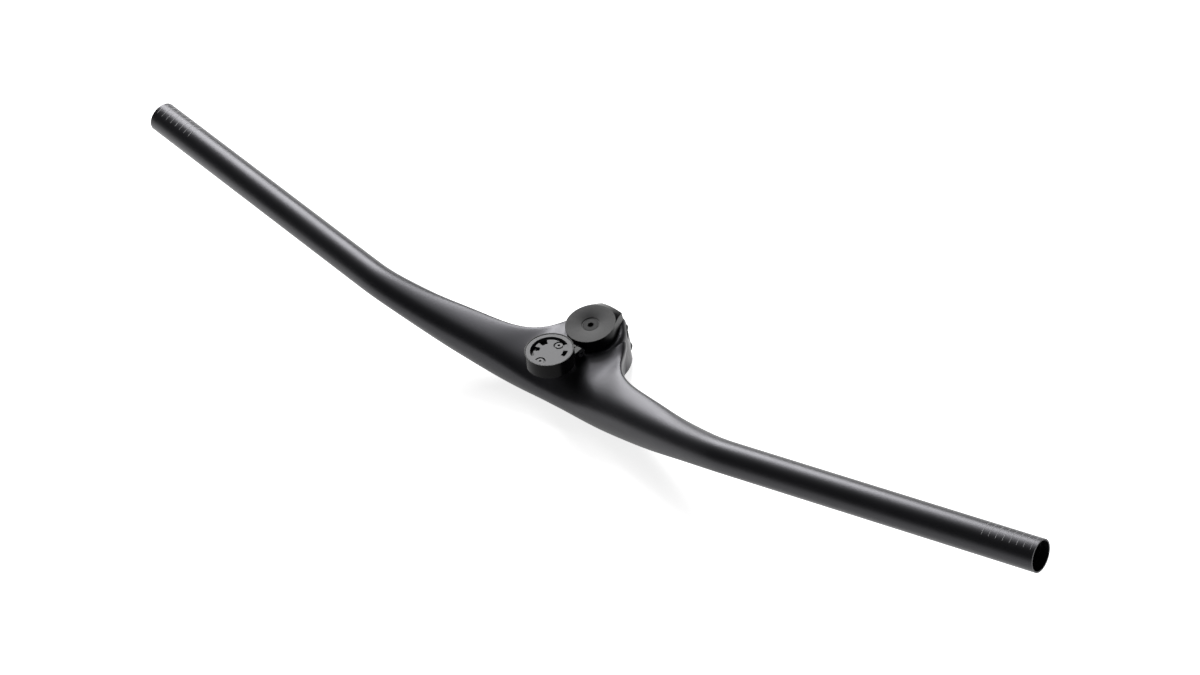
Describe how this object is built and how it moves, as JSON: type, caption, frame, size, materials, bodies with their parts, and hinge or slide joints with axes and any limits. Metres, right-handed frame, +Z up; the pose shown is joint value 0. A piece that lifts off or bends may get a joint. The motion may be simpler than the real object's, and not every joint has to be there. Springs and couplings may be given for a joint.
{
  "type": "integrated handlebar stem",
  "caption": "One-piece carbon flat handlebar and stem with a two-bolt steerer clamp, a top cap and a hinged quarter-turn computer mount in front of it.",
  "frame": {"origin": "on the steerer axis at the underside of the steerer clamp", "axes": "+Z up the steerer axis, +X to the rider's right hand grip, -Y forwards"},
  "size_m": [0.7832, 0.0824, 0.0728],
  "materials": {
    "carbon_body": "satin black moulded carbon fibre",
    "anodised_aluminium": "fine blasted black anodising",
    "moulded_plastic": "matte grey-black moulded nylon",
    "black_steel": "black oxide screws"
  },
  "bodies": {
    "cockpit": {"bar_stem": "carbon_body", "clamp_bolts": "black_steel", "clamp_washers": "black_steel", "clamp_nuts": "black_steel", "mount_base": "anodised_aluminium", "top_cap": "anodised_aluminium", "top_cap_bolt": "black_steel"},
    "mount_arm": {"mount_cup": "anodised_aluminium", "bayonet_insert": "moulded_plastic", "insert_screws": "black_steel", "hinge_screw": "black_steel", "hinge_nut": "black_steel"}
  },
  "joints": [
    {"name": "mount_hinge", "type": "hinge", "parent": "cockpit", "child": "mount_arm", "pos_m": [0, -0.0212, 0.0375], "axis": [-1, 0, 0], "range_deg": [-12, 30]}
  ]
}
